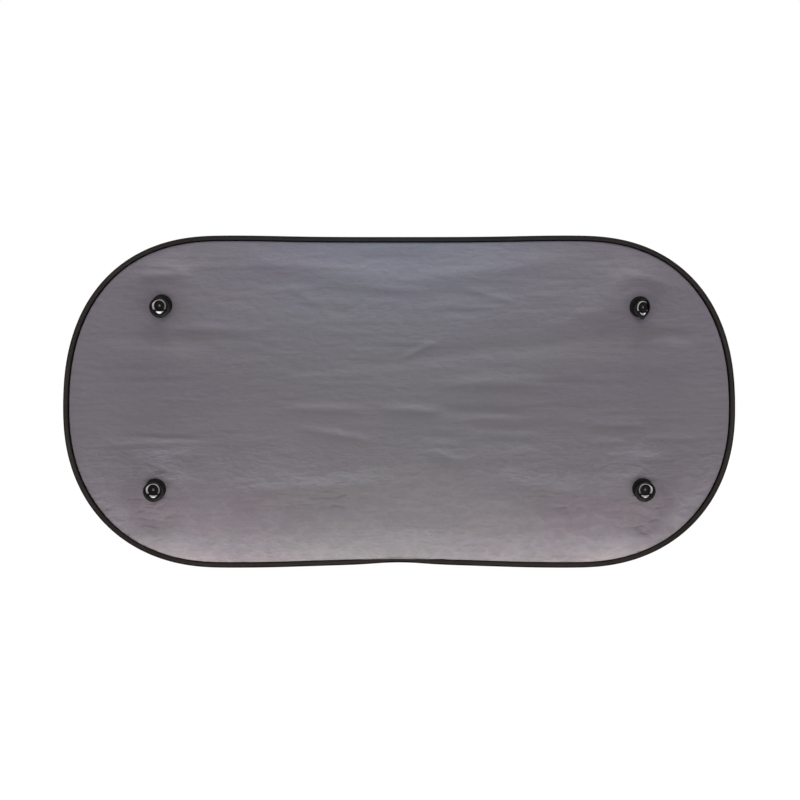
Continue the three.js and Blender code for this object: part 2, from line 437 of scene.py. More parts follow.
# %% [markdown]
# ## Folds of the sheet
# Slack cloth in a hoop wrinkles along the lines where it is pulled. Here the sheet is a fine
# grid, and each fold is a soft ridge between two points, with a width and a height. The folds are
# listed one by one. A simulation would give lively folds too, but not these ones in these places.

# %% One fold
END_FADE = 1.2


def ridge(x, z, start, end, width, height):
    """A ridge that fades towards both ends. A negative height makes it a valley."""
    (x0, z0), (x1, z1) = start, end
    run = math.hypot(x1 - x0, z1 - z0)
    ux, uz = (x1 - x0) / run, (z1 - z0) / run
    along = ((x - x0) * ux + (z - z0) * uz) / run * 2 - 1
    across = (z - z0) * ux - (x - x0) * uz
    return height * np.exp(-((across / width) ** 2)) * np.exp(-END_FADE * along**4)


# %% List the folds
# Each fold: both ends (x, z), half width and height, in millimetres. A positive height is
# towards the glass. The last four are the cloth that bulges over the cups.
FOLDS = [
    ((-175, -10), (-58, -14), 6, 2.0),
    ((-22, -11), (62, -15), 6, 2.1),
    ((62, -14), (190, -18), 7, -1.8),
    ((65, 26), (205, 29), 9, 1.8),
    ((-145, -40), (-40, -60), 6, 2.0),
    ((40, -74), (108, -95), 6, 1.8),
    ((40, -52), (92, -54), 6, -1.2),
    ((105, -40), (215, -42), 7, -1.6),
    ((120, -61), (215, -63), 7, -1.6),
    ((-245, -136), (-22, -122), 13, 4.7),
    ((158, -120), (280, -140), 12, 4.4),
    ((-240, -158), (-60, -166), 12, -2.5),
    ((180, -160), (375, -166), 12, -2.5),
    ((-405, -52), (-285, -56), 4, -1.4),
    ((-448, -66), (-290, -62), 5, 1.2),
    ((-430, 96), (-270, 84), 12, -1.4),
    ((-330, 112), (-215, 104), 8, 1.4),
    ((-55, 58), (363, 97), 12, -1.4),
    ((255, 128), (315, 131), 8, 1.4),
    ((362, 97), (440, 97), 10, -1.9),
    ((0, 62), (55, 88), 4, 1.2),
    ((285, -36), (372, -36), 5, 1.6),
    ((285, -61), (345, -61), 5, 1.4),
    ((375, -54), (458, -56), 5, 1.4),
    ((-305, 216), (-322, 192), 4, -1.1),
    ((-385, 196), (-335, 194), 5, -1.1),
    ((300, 220), (326, 188), 4, -1.1),
    ((338, 198), (412, 180), 6, -1.1),
    ((-168, 174), (-100, 130), 6, 0.6),
    ((-140, 142), (-65, 128), 7, -0.7),
    ((65, 134), (125, 132), 7, -0.7),
    ((98, 168), (165, 150), 6, 1.1),
    ((-215, 205), (0, 176), 16, 1.8),
    ((0, 176), (240, 208), 16, 1.8),
    ((-60, 215), (60, 215), 20, -0.9),
    ((-396, -88), (-296, -82), 14, 3.4),
    ((312, -84), (404, -88), 14, 3.4),
    ((-380, 186), (-312, 190), 13, 2.8),
    ((326, 184), (396, 182), 13, 2.4),
]
print(len(FOLDS), "folds, the highest", max(height for *_, height in FOLDS), "mm")

# %% [markdown]
# ### Faint folds
# Between the large folds the cloth is never quite plain. Many faint, nearly level wrinkles are
# scattered by a random draw with a fixed seed, so that they fall in the same places on each run.

# %% Scatter the faint folds
FINE_FOLDS = 170
FINE_SEED = 11
FIELD_X, FIELD_Z = (-450, 450), (-220, 225)
FINE_HALF_RUN = (20, 85)
FINE_LEAN = 0.04
FINE_WIDTH = (2.6, 6.5)
FINE_STEEP = 0.11


def fine_folds(x, z):
    chance = np.random.default_rng(FINE_SEED)
    total = np.zeros(x.shape)
    for _ in range(FINE_FOLDS):
        middle = chance.uniform(*FIELD_X), chance.uniform(*FIELD_Z)
        half = chance.uniform(*FINE_HALF_RUN)
        lean = chance.normal(0, FINE_LEAN)
        width = chance.uniform(*FINE_WIDTH)
        height = width * chance.uniform(-FINE_STEEP, FINE_STEEP)
        start = middle[0] - half, middle[1] - half * lean
        end = middle[0] + half, middle[1] + half * lean
        total += ridge(x, z, start, end, width, height)
    return total


print(FINE_FOLDS, "faint folds from seed", FINE_SEED)

# %% [markdown]
# ### The hang of the cloth
# The slack cloth hangs in a belly above the bottom binding, and comes back to the plane of the
# hoop towards the top. Right beside the bottom binding it first rolls back in a small lip, and
# all round the seam gathers it into small puckers. All of this is in millimetres.

# %% Belly, lip and puckers
BELLY_DEPTH, BELLY_RUN, BELLY_RETURN = 10.5, 42, 330
HALF_LENGTH, END_RUN = 490, 110
LIP_DEPTH, LIP_RUN, LIP_START = 2.2, 8.0, 3.0
LIP_TOP, LIP_FADE = -120, 90
PUCKER_HEIGHT, PUCKER_PITCH, PUCKER_FADE = 0.45, 12.5, 15
PUCKER_DRIFT, DRIFT_RUN = 1.7, 61
TUCKED = 6.5


def low_rim(x):
    """Level of the lower rim at each x."""
    lower = RIM[RIM[:, 1] < 0]
    lower = lower[np.argsort(lower[:, 0])] / MM
    return np.interp(x, lower[:, 0], lower[:, 1])


def belly(x, z):
    up = np.maximum(z - low_rim(x) - TUCKED, 0)
    depth = smooth_step(up / BELLY_RUN) - smooth_step((up - BELLY_RUN) / BELLY_RETURN)
    return BELLY_DEPTH * depth * smooth_step((HALF_LENGTH - np.abs(x)) / END_RUN)


def lip(inset, z):
    return LIP_DEPTH * smooth_step((inset - LIP_START) / LIP_RUN) * smooth_step((LIP_TOP - z) / LIP_FADE)


def pucker(along, free):
    """A wave along the seam whose pitch drifts a little, as hand-fed cloth gives."""
    drift = PUCKER_DRIFT * np.sin(along / DRIFT_RUN)
    gathers = np.sin(along / PUCKER_PITCH * 2 * math.pi + drift)
    return PUCKER_HEIGHT * gathers * np.exp(-free / PUCKER_FADE)


print("belly", BELLY_DEPTH, "mm deep, puckers every", PUCKER_PITCH, "mm")

# %% [markdown]
# ### The pull of the cups
# A cup's weight tips it, and the patches tip the cloth with them. The slack cloth gives way to
# only part of the lean, and the soft neck of the cup bends for the rest. The cloth is flat under
# the patches, and its folds come back gradually outside them.

# %% Add up the sheet's shape
LEAN_SHARE = 0.4
CUP_REACH = 34
PATCH_HOLD, LOOSE_RUN, CALM_RUN = 17.0, 12, 45
FOLD_EDGE, BELLY_EDGE = 24, 12


def patch_axis(axis):
    return (Vector((0, -1, 0)) * (1 - LEAN_SHARE) + axis * LEAN_SHARE).normalized()


def sheet_offset(x, z):
    """How far each point of the sheet lies behind the hoop's plane, in millimetres."""
    inset, along, _ = rim_distance(x * MM, z * MM)
    inset, along = inset / MM, along / MM
    free = np.maximum(inset - TUCKED, 0)
    forward = fine_folds(x, z) + pucker(along, free)
    for fold in FOLDS:
        forward += ridge(x, z, *fold)
    held = smooth_step(free / FOLD_EDGE)
    offset = lip(inset, z) + belly(x, z) * smooth_step(free / BELLY_EDGE) - forward * held
    tipped = np.zeros(x.shape)
    for place, axis, _ in HOLES:
        axis = patch_axis(axis)
        dx, dz = x - place.x / MM, z - place.z / MM
        reach = np.hypot(dx, dz)
        tip = (dx * axis.x + dz * axis.z) / -axis.y
        loose = smooth_step((reach - PATCH_HOLD) / LOOSE_RUN)
        offset = offset * smooth_step((reach - PATCH_HOLD) / CALM_RUN)
        tipped += tip * (1 - loose + loose * np.exp(-(reach**2) / (2 * CUP_REACH**2)))
    return offset + tipped * held


print("the cloth tips with", LEAN_SHARE, "of a cup's lean")

# %% [markdown]
# ## The sheet
# The grid is laid over the whole box, folded by the functions above and given its thickness. A
# boolean then cuts it to the measured outline and holes. The cutter is a deep copy of the
# measured sheet, so the cloth tucks exactly into the slot of the tape.

# %% Lay and fold the grid
COLUMNS, ROWS = 170, 230
SPARE = 6 * MM

bpy.ops.object.select_all(action="DESELECT")
bpy.ops.mesh.primitive_grid_add(x_subdivisions=COLUMNS, y_subdivisions=ROWS, size=1,
                                rotation=(math.radians(90), 0, 0),
                                location=((low.x + high.x) / 2, SHEET_Y, (low.z + high.z) / 2))
cloth = bpy.context.object
cloth.name = "mesh_cloth"
cloth.scale = (high.x - low.x + SPARE, high.z - low.z + SPARE, 1)
bpy.ops.object.transform_apply(location=True, rotation=True, scale=True)
points = points_of(cloth)
points[:, 1] = SHEET_Y + sheet_offset(points[:, 0] / MM, points[:, 2] / MM) * MM
move_points(cloth, points)
apply_modifier(cloth, "SOLIDIFY", thickness=SHEET_THICKNESS, offset=0)
print("folded grid of", len(cloth.data.polygons), "faces")

# %% Cut the sheet to its outline
CUT_REACH = 30

cutter = points_of(sheet_cut)
cutter[:, 1] = SHEET_Y + np.where(cutter[:, 1] < SHEET_Y, -CUT_REACH, CUT_REACH) * MM
move_points(sheet_cut, cutter)
apply_modifier(cloth, "BOOLEAN", object=sheet_cut, operation="INTERSECT", solver="EXACT")
bpy.data.objects.remove(sheet_cut)
choose(cloth)
bpy.ops.object.shade_smooth_by_angle(angle=math.radians(50))

points = points_of(cloth)
cloth_inset, cloth_along, _ = rim_distance(points[:, 0], points[:, 2])
add_chart(cloth, "cloth_run", np.column_stack([cloth_along, cloth_inset])[corner_points(cloth)])
print("cloth", len(cloth.data.polygons), "faces, up to", round((points[:, 1].max() - SHEET_Y) / MM, 1),
      "mm behind the hoop's plane")

# %% [markdown]
# ## Cloth finish
# The cloth is a fine dark knit with tiny openings, and from a metre away it reads as a satin grey
# with faint level streaks. The openings are drawn as a dark grid of about a millimetre, and the
# cloth lets a little light through all over, as a sun screen does. The yarn drifts in patches from
# a plain grey to a slight mauve, more so towards the ends.

# %% Yarn and openings
KNIT_PITCH = 0.9 * MM
OPENING = (0.1, 0.094, 0.102)
USUAL_NOISE = (0.25, 0.75)
PLAIN_YARN = (0.172, 0.165, 0.178), (0.212, 0.205, 0.217)
MAUVE_YARN = (0.162, 0.142, 0.17), (0.2, 0.178, 0.206)

cloth_finish, tree, shader = new_material("dark_mesh_cloth", (0.185, 0.175, 0.19), 0.55, alpha=0.95,
                                          sheen_weight=0.12, sheen_roughness=0.35,
                                          specular_ior_level=0.3)
knit = axes(tree, stretched(tree, (1 / KNIT_PITCH, 1 / KNIT_PITCH, 1 / KNIT_PITCH)))
thread = between(tree, times(tree, wave(tree, knit[0]), wave(tree, knit[2])), 1.0, 0.0, -0.2, 0.9)
streak = noise(tree, stretched(tree, (9, 9, 330)), detail=4, roughness=0.6)
broad = noise(tree, stretched(tree, (3, 3, 14)), detail=2)
tone = rises(tree, plus(tree, times(tree, streak, 0.6), times(tree, broad, 0.4)), *USUAL_NOISE)

side, _, level = axes(tree, chart(tree))
from_middle = math_of(tree, "ABSOLUTE", side)
# The yarn drifts in patches, and turns more to the slightly darker mauve towards the ends.
yarn_drift = plus(tree, between(tree, from_middle, -0.25, 0.35, 0.05, 0.42),
            noise(tree, stretched(tree, (7, 7, 22)), detail=3))
yarn = blend(tree, rises(tree, yarn_drift, *USUAL_NOISE), blend(tree, tone, *PLAIN_YARN),
             blend(tree, tone, *MAUVE_YARN))
shade = blend(tree, between(tree, thread, 0.25, 1.0), OPENING, yarn)
print("knit of", round(KNIT_PITCH / MM, 2), "mm")

# %% [markdown]
# ### Painted shade by the edges and painted light on the hem
# The cloth looks darker beside the tape at the top and the ends. Along the bottom it has a thin
# pale line beside the tape and a paler hem, and the lower corners are the palest. That is light
# and shade which these lamps don't give in full, so it is painted into the yarn by its distance
# from the rim, which the map of the cloth holds: painted shade beside the tape, and painted
# light along the bottom and in the lower corners.

# %% Painted shade and painted light by the rim
EDGE_SHADE_YARN = (0.105, 0.094, 0.108)
EDGE_SHADE_SHARE, EDGE_SHADE_RUN, EDGE_SHADE_ABOVE = 0.85, (4 * MM, 15 * MM), (-0.16, -0.06)
LINE_SHARE, LINE_RUN, LINE_FROM = 0.36, (5 * MM, 10 * MM), (0.02, 0.12)
HEM_SHARE, HEM_RUN, HEM_BELOW = 0.2, (5 * MM, 60 * MM), (-0.14, -0.06)
CORNER_SHARE, CORNER_FROM = 0.75, (0.24, 0.42)
CORNER_RUN, CORNER_BELOW = (10 * MM, 100 * MM), (-0.1, -0.05)

inset = axes(tree, chart(tree, "UV"))[1]
# Painted shade: the yarn darker beside the tape at the top and the ends.
painted_edge_shade = times(tree, between(tree, inset, EDGE_SHADE_SHARE, 0, *EDGE_SHADE_RUN), rises(tree, level, *EDGE_SHADE_ABOVE))
shade = blend(tree, painted_edge_shade, shade, EDGE_SHADE_YARN)
# Painted light: a pale line and a paler hem along the bottom, and paler lower corners.
painted_light_line = times(tree, between(tree, inset, LINE_SHARE, 0, *LINE_RUN),
                  rises(tree, from_middle, *LINE_FROM))
painted_light_hem = times(tree, plus(tree, painted_light_line, between(tree, inset, HEM_SHARE, 0, *HEM_RUN)),
                 falls(tree, level, *HEM_BELOW))
painted_light_corner = times(tree, between(tree, from_middle, 0, CORNER_SHARE, *CORNER_FROM),
                    falls(tree, inset, *CORNER_RUN), falls(tree, level, *CORNER_BELOW))
pale = plus(tree, painted_light_hem, painted_light_corner)
print(f"cloth darker to {EDGE_SHADE_RUN[1] / MM:.0f} mm inside the rim, hem paler to {HEM_RUN[1] / MM:.0f} mm")

# %% [markdown]
# ### Creases
# Cloth that is stored folded keeps a net of soft creases, which shows most in the low part, where
# it hangs loose. Two slanting layers of noise give it: where the noise crosses its middle value
# there is a sharp line, which a bump presses in. Along each line the colour is painted a little
# paler, a painted highlight on the crease.

# %% Creases and the finished cloth
PAINTED_LIGHT_YARN = (0.34, 0.315, 0.32)
CREASE_GRAINS = ((0.35, 22, 62), (-0.4, 36, 58))
CREASE_HEIGHT = 8.5 * MM
STREAK_HEIGHT, THREAD_HEIGHT = 0.35 * MM, 0.12 * MM
TOP_SHARE, HANGING_BELOW = 0.17, (-0.17, -0.03)

hanging = between(tree, level, 1.0, TOP_SHARE, *HANGING_BELOW)
relief = None
for slant, grain_x, grain_z in CREASE_GRAINS:
    rumple = noise(tree, stretched(tree, (grain_x, grain_x, grain_z), (0, slant, 0)), detail=3)
    crease = math_of(tree, "ABSOLUTE", math_of(tree, "SUBTRACT", rumple, 0.5))
    relief = bump(tree, crease, CREASE_HEIGHT, hanging, relief)
    # Painted highlight: the yarn a little paler along each crease line.
    painted_crease_light = between(tree, crease, 0.08, -0.03, 0.0, 0.1)
    pale = plus(tree, pale, times(tree, painted_crease_light, hanging))
relief = bump(tree, streak, STREAK_HEIGHT, 0.4, relief)
# All the painted light, of hem, corners and creases, turns the yarn towards a paler one.
feed(tree, shader, base_color=blend(tree, pale, shade, PAINTED_LIGHT_YARN),
     roughness=between(tree, streak, 0.48, 0.68),
     normal=bump(tree, thread, THREAD_HEIGHT, 0.6, relief))
cloth.data.materials.append(cloth_finish)
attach(cloth, "shade")
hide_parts("shade_panel")
print("cloth finish of", len(tree.nodes), "nodes")

# %% [markdown]
# ## The binding tape
# The measured tape already has the right fold round the wire, but its facets show. A welded copy,
# turned back into quads and subdivided, keeps the shape and rounds it.

# %% Round the tape
QUAD_ANGLE = math.radians(80)

tape = copy_of("edge_binding", "binding_tape")
choose(tape)
bpy.ops.object.mode_set(mode="EDIT")
bpy.ops.mesh.select_all(action="SELECT")
bpy.ops.mesh.tris_convert_to_quads(face_threshold=QUAD_ANGLE, shape_threshold=QUAD_ANGLE)
bpy.ops.object.mode_set(mode="OBJECT")
apply_modifier(tape, "SUBSURF", levels=2, render_levels=2)
choose(tape)
bpy.ops.object.shade_smooth()
print("tape", len(tape.data.polygons), "faces")

# %% [markdown]
# ### The uneven width of the tape
# Tape that is folded and fed by hand is never evenly wide. Its inner edges reach furthest in
# round the ends, where the tape is eased round the bend, and less along the bottom. At the middle
# of the bottom it is drawn in to a waist over the joint of the wire. Beside that waist the two
# ends of the tape lap, and the upper layer ends in a small step.

# %% Shape the tape's edges
TAPE_SPREAD = 1.2
END_SPREAD, END_START, END_FADE_IN = 1.0, 400, 60
FOOT_SPREAD, FOOT_TOP, FOOT_FADE = 0.6, -120, 100
WAIST_SPREAD, WAIST_HALF, WAIST_FADE = 1.5, 60, 50
LAP_SPREAD, LAP_END, LAP_STEP, LAP_LENGTH, LAP_FADE = 1.1, 73, 2, 75, 60
OUTER_SPREAD, OUTER_TOP, OUTER_FADE = 0.4, 230, 100
INNER_START, INNER_RUN = 2, 3
OUTER_START, OUTER_RUN = 2, 2


def inner_spread(x, z):
    """How much further in the tape's inner edges reach than the measured ones, in millimetres."""
    below = z < 0
    spread = TAPE_SPREAD + END_SPREAD * smooth_step((np.abs(x) - END_START) / END_FADE_IN)
    spread -= FOOT_SPREAD * smooth_step((FOOT_TOP - z) / FOOT_FADE)
    spread -= WAIST_SPREAD * smooth_step((WAIST_HALF - np.abs(x)) / WAIST_FADE) * below
    from_lap = LAP_END - x
    lap = smooth_step(from_lap / LAP_STEP) * smooth_step((LAP_LENGTH - from_lap) / LAP_FADE) * below
    return spread + LAP_SPREAD * lap


tape_points = points_of(tape)
tape_inset, tape_along, tape_inwards = rim_distance(tape_points[:, 0], tape_points[:, 2])
tape_x, tape_z, inset_mm = tape_points[:, 0] / MM, tape_points[:, 2] / MM, tape_inset / MM
shift = smooth_step((inset_mm - INNER_START) / INNER_RUN) * inner_spread(tape_x, tape_z)
shift -= (smooth_step((-inset_mm - OUTER_START) / OUTER_RUN) * OUTER_SPREAD
          * smooth_step((OUTER_TOP - tape_z) / OUTER_FADE))
tape_points[:, [0, 2]] += tape_inwards * (shift * MM)[:, None]
move_points(tape, tape_points)
print("tape edges moved by", round(shift.min(), 2), "to", round(shift.max(), 2), "mm inwards")

# %% [markdown]
# ### A map along the tape
# The ribs of the weave have to follow the curve. So each face corner gets a place along and
# across the tape. A face that spans the start of the rim is carried past its end, or the whole
# weave would be squeezed into that one face.

# %% Map the tape
tape_corners = corner_points(tape)
run = tape_along[tape_corners]
for face in tape.data.polygons:
    span = slice(face.loop_start, face.loop_start + face.loop_total)
    if run[span].max() - run[span].min() > RIM_LENGTH / 2:
        run[span] = np.where(run[span] < RIM_LENGTH / 2, run[span] + RIM_LENGTH, run[span])
add_chart(tape, "tape_run", np.column_stack([run, tape_inset[tape_corners]]))
print("tape map from", round(run.min(), 3), "to", round(run.max(), 3), "m along the rim")

# %% [markdown]
# ### Tape finish
# The tape is a ribbed black weave, slightly fluffy. Its face looks a warm dark grey between two
# thin black lines. These lines are painted shade: the yarn is blacker and duller on the rounded
# outer edge and beside the inner one. Low down the face gets half of that painted shade too, which
# holds back the light of the table strip.

# %% Tape material
RIB_PITCH = 0.75 * MM
TAPE_YARN = (0.02, 0.017, 0.0152), (0.036, 0.0315, 0.0285)
TAPE_EDGE_SHADE = (0.0025, 0.002, 0.002)
RIB_HEIGHT = 0.1 * MM
OUTER_EDGE, INNER_EDGE = (-3.1, -1.7), (1.9, 3.4)
FOOT_SHARE, FOOT_BELOW = 0.5, (-0.2, -0.1)
SHEEN = 0.06
SHINE = 0.08

tape_finish, tree, shader = new_material("black_binding_tape", (0.02, 0.018, 0.019), 0.75,
                                         sheen_roughness=0.4)
ribs = wave(tree, axes(tree, stretched(tree, (1 / RIB_PITCH, 1 / RIB_PITCH, 1), source="UV"))[0])
fuzz = noise(tree, stretched(tree, (900, 900, 900)), detail=3)
yarn_drift = noise(tree, stretched(tree, (14, 14, 14)), detail=3)
tone = plus(tree, times(tree, yarn_drift, 0.6), times(tree, fuzz, 0.4))
yarn = blend(tree, rises(tree, tone, 0.3, 0.7), *TAPE_YARN)
across = times(tree, axes(tree, chart(tree, "UV"))[1], 1 / MM)
level = axes(tree, chart(tree))[2]
# Painted shade: blacker, duller edges, and a darker face low down.
unshaded_tape = times(tree, rises(tree, across, *OUTER_EDGE), falls(tree, across, *INNER_EDGE),
                  between(tree, level, FOOT_SHARE, 1, *FOOT_BELOW))
relief = bump(tree, ribs, RIB_HEIGHT, 0.6, bump(tree, fuzz, RIB_HEIGHT, 0.4))
feed(tree, shader, base_color=blend(tree, unshaded_tape, TAPE_EDGE_SHADE, yarn), normal=relief,
     sheen_weight=times(tree, unshaded_tape, SHEEN), specular_ior_level=times(tree, unshaded_tape, SHINE))
tape.data.materials.append(tape_finish)
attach(tape, "shade")
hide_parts("edge_binding")
print("tape ribs every", round(RIB_PITCH / MM, 2), "mm")

# %% [markdown]
# ## Stitches
# One stitch is a small plump spindle. An Array repeats it as often as the length of the seam
# allows, and a Curve modifier lays the row along the seam. The tape has a row on each face.

# %% Makers for a seam
STITCH_LENGTH, STITCH_GAP = 2.4 * MM, 0.8 * MM
STITCH_RADIUS = 0.22 * MM


def closed_run(name, loop):
    """A closed curve through the given points."""
    data = bpy.data.curves.new(name, "CURVE")
    data.dimensions = "3D"
    spline = data.splines.new("POLY")
    spline.points.add(len(loop) - 1)
    for point, place in zip(spline.points, loop):
        point.co = (*place, 1)
    spline.use_cyclic_u = True
    obj = bpy.data.objects.new(name, data)
    bpy.context.scene.collection.objects.link(obj)
    return obj


def run_length(loop):
    return sum((Vector(b) - Vector(a)).length for a, b in zip(loop, loop[1:] + loop[:1]))


def stitch_row(name, loop, length=STITCH_LENGTH, gap=STITCH_GAP):
    """A whole number of spindles, laid end to end round the loop."""
    bpy.ops.object.select_all(action="DESELECT")
    bpy.ops.mesh.primitive_uv_sphere_add(segments=6, ring_count=5, radius=1, location=(0, 0, 0),
                                         rotation=(0, math.radians(90), 0))
    row = bpy.context.object
    row.name = name
    bpy.ops.object.transform_apply(location=True, rotation=True, scale=True)
    move_points(row, points_of(row) * (length / 2, STITCH_RADIUS, STITCH_RADIUS))
    count = round(run_length(loop) / (length + gap))
    step = run_length(loop) / count
    curve = closed_run(name + "_line", loop)
    apply_modifier(row, "ARRAY", fit_type="FIXED_COUNT", count=count, use_relative_offset=False,
                   use_constant_offset=True, constant_offset_displace=(step, 0, 0))
    apply_modifier(row, "CURVE", object=curve, deform_axis="POS_X")
    bpy.data.objects.remove(curve)
    choose(row)
    bpy.ops.object.shade_smooth()
    print(name, count, "stitches")
    return row


# %% Sew the tape
LEG_FACE = 1.05 * MM
SEAM_INSET = 2.6 * MM


def inset_loop(inset, level):
    """The rim moved inwards by the inset, at the depth given, as points in space."""
    before, after = np.roll(RIM, 1, axis=0), np.roll(RIM, -1, axis=0)
    along = after - before
    along /= np.hypot(along[:, 0], along[:, 1])[:, None]
    moved = RIM + np.column_stack([-along[:, 1], along[:, 0]]) * inset
    return [(float(x), level, float(z)) for x, z in moved]


rows = [stitch_row("tape_stitches_front", inset_loop(SEAM_INSET, SHEET_Y - LEG_FACE)),
        stitch_row("tape_stitches_rear", inset_loop(SEAM_INSET, SHEET_Y + LEG_FACE))]

# %% [markdown]
# ### Thread finish
# Black polyester thread on black tape shows only by its twist, so the thread gets a fine grain
# and almost no shine.

# %% Thread material
thread_finish, tree, shader = new_material("black_sewing_thread", (0.014, 0.013, 0.014), 0.6,
                                           sheen_weight=0.05, specular_ior_level=0.1)
twist = noise(tree, stretched(tree, (1500, 1500, 1500)), detail=2)
feed(tree, shader, base_color=blend(tree, twist, (0.01, 0.009, 0.01), (0.022, 0.02, 0.021)),
     normal=bump(tree, twist, 0.05 * MM, 0.5))
for row in rows:
    row.data.materials.append(thread_finish)
    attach(row, "shade")
    print(row.name, len(row.data.polygons), "faces")

# %% [markdown]
# ## Backing patches
# A round of black vinyl on each face of the sheet takes the pull of the cup. Each is a thin disc
# with a hole, so it starts as a cylinder, the middle is opened and both rims are softened. It is
# made once, flat, and each copy is turned to lie on the leaning cloth about its hole.

# %% Make one patch
patch_low, patch_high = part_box("patch_front_top_left")
PATCH_RADIUS = (patch_high.x - patch_low.x) / 2
PATCH_THICKNESS = patch_high.y - patch_low.y
PATCH_GAP = low.y - patch_high.y
HOLE_RADIUS = 4.2 * MM
RIM_ROUNDING = 0.18 * MM


def make_disc(name):
    """A flat ring about the Z axis, its lower face at zero."""
    bpy.ops.object.select_all(action="DESELECT")
    bpy.ops.mesh.primitive_cylinder_add(vertices=72, radius=PATCH_RADIUS, depth=PATCH_THICKNESS,
                                        location=(0, 0, PATCH_THICKNESS / 2))
    disc = bpy.context.object
    disc.name = name
    bpy.ops.object.mode_set(mode="EDIT")
    bpy.ops.mesh.select_mode(type="FACE")
    bpy.ops.mesh.select_all(action="DESELECT")
    bpy.ops.object.mode_set(mode="OBJECT")
    for face in disc.data.polygons:
        face.select = len(face.vertices) > 4
    bpy.ops.object.mode_set(mode="EDIT")
    bpy.ops.mesh.inset(thickness=PATCH_RADIUS - HOLE_RADIUS, depth=0)
    bpy.ops.mesh.bridge_edge_loops()
    bpy.ops.object.mode_set(mode="OBJECT")
    apply_modifier(disc, "BEVEL", width=RIM_ROUNDING, segments=2, limit_method="ANGLE",
                   angle_limit=math.radians(60))
    choose(disc)
    bpy.ops.object.transform_apply(location=True, rotation=True, scale=True)
    bpy.ops.object.shade_smooth_by_angle(angle=math.radians(50))
    return disc


disc = make_disc("patch_form")
print(f"patch {PATCH_RADIUS / MM * 2:.1f} mm wide, {PATCH_THICKNESS / MM:.2f} mm thick")

# %% [markdown]
# ### Patch finish
# The backing is a dull vinyl with a fine leather grain and a little dust.

# %% Patch material
patch_finish, tree, shader = new_material("black_vinyl_backing", (0.012, 0.012, 0.012), 0.6,
                                          specular_ior_level=0.08)
grain = add_node(tree, "TexVoronoi", {"Vector": stretched(tree, (1100, 1100, 1100))}).outputs[0]
dust = noise(tree, stretched(tree, (120, 120, 120)), detail=4)
feed(tree, shader, normal=bump(tree, grain, 0.12 * MM, 0.5), roughness=between(tree, dust, 0.5, 0.7),
     base_color=blend(tree, rises(tree, dust, 0.35, 0.7), (0.005, 0.005, 0.005),
                      (0.011, 0.0105, 0.01)))
print("patch finish of", len(tree.nodes), "nodes")

# %% [markdown]
# ### Setting the patches
# A patch and its ring of stitches are made once about the Z axis. A copy of each is turned so
# that Z points along the tipped cloth's axis, through the hole, and a second copy is turned over
# for the side that faces the car.

# %% Set the patches
SEAM_MARGIN = 2.6 * MM
RING_POINTS = 72


def along_axis(place, axis):
    """Turns a form about the Z axis so that its Z points along the hinge, through the hole."""
    turn = axis.to_track_quat("Z", "Y").to_matrix().to_4x4()
    return Matrix.Translation(place) @ turn


def settle(obj, name, matrix, body, finish):
    """A copy with a mesh of its own, set in place, finished and riding on its body."""
    copy = bpy.data.objects.new(name, obj.data.copy())
    bpy.context.scene.collection.objects.link(copy)
    copy.data.transform(matrix)
    copy.data.materials.clear()
    copy.data.materials.append(finish)
    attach(copy, body)
    return copy


ring_radius = PATCH_RADIUS - SEAM_MARGIN
ring = [(ring_radius * math.cos(a), ring_radius * math.sin(a), PATCH_THICKNESS)
        for a in np.linspace(0, 2 * math.pi, RING_POINTS, endpoint=False)]
seam = stitch_row("patch_seam_form", ring, length=2.2 * MM, gap=0.9 * MM)
rise = Matrix.Translation((0, 0, SHEET_THICKNESS / 2 + PATCH_GAP))
turned_over = Matrix.Rotation(math.pi, 4, "X")
for place, axis, body in HOLES:
    corner = body.replace("cup_", "")
    stand = along_axis(place, patch_axis(axis))
    for side, matrix in (("front", stand @ rise), ("rear", stand @ turned_over @ rise)):
        piece = settle(disc, f"backing_{side}_{corner}", matrix, "shade", patch_finish)
        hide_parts(f"patch_{side}_{corner}")
        settle(seam, f"backing_seam_{side}_{corner}", matrix, "shade", thread_finish)
bpy.data.objects.remove(disc)
bpy.data.objects.remove(seam)
print(2 * len(HOLES), "patches set")

# %% [markdown]
# ## Suction cups
# A cup is a turned form: one half section, spun about the axis. The section runs from the button
# behind the sheet, through the neck and the back of the bell, over the lip and down the hollow
# to the flat floor with its small moulding gate. Low rings inside the lip catch fine arcs of light.

# %% Cup section
RINGS, RING_STEP, RING_START = 3, 0.6, 14.2
WALL_SLOPE, WALL_FOOT = 0.95, (11.9, 12.8)


def lip_rings():
    """Small steps down the wall of the hollow, from the lip inwards."""
    rings = []
    for i in range(RINGS):
        r = RING_START - i * RING_STEP
        h = WALL_FOOT[1] + (r - WALL_FOOT[0]) * WALL_SLOPE
        rings += [(r + 0.1, h + 0.12), (r - 0.05, h + 0.16), (r - 0.2, h - 0.02), (r - 0.4, h - 0.22)]
    return rings


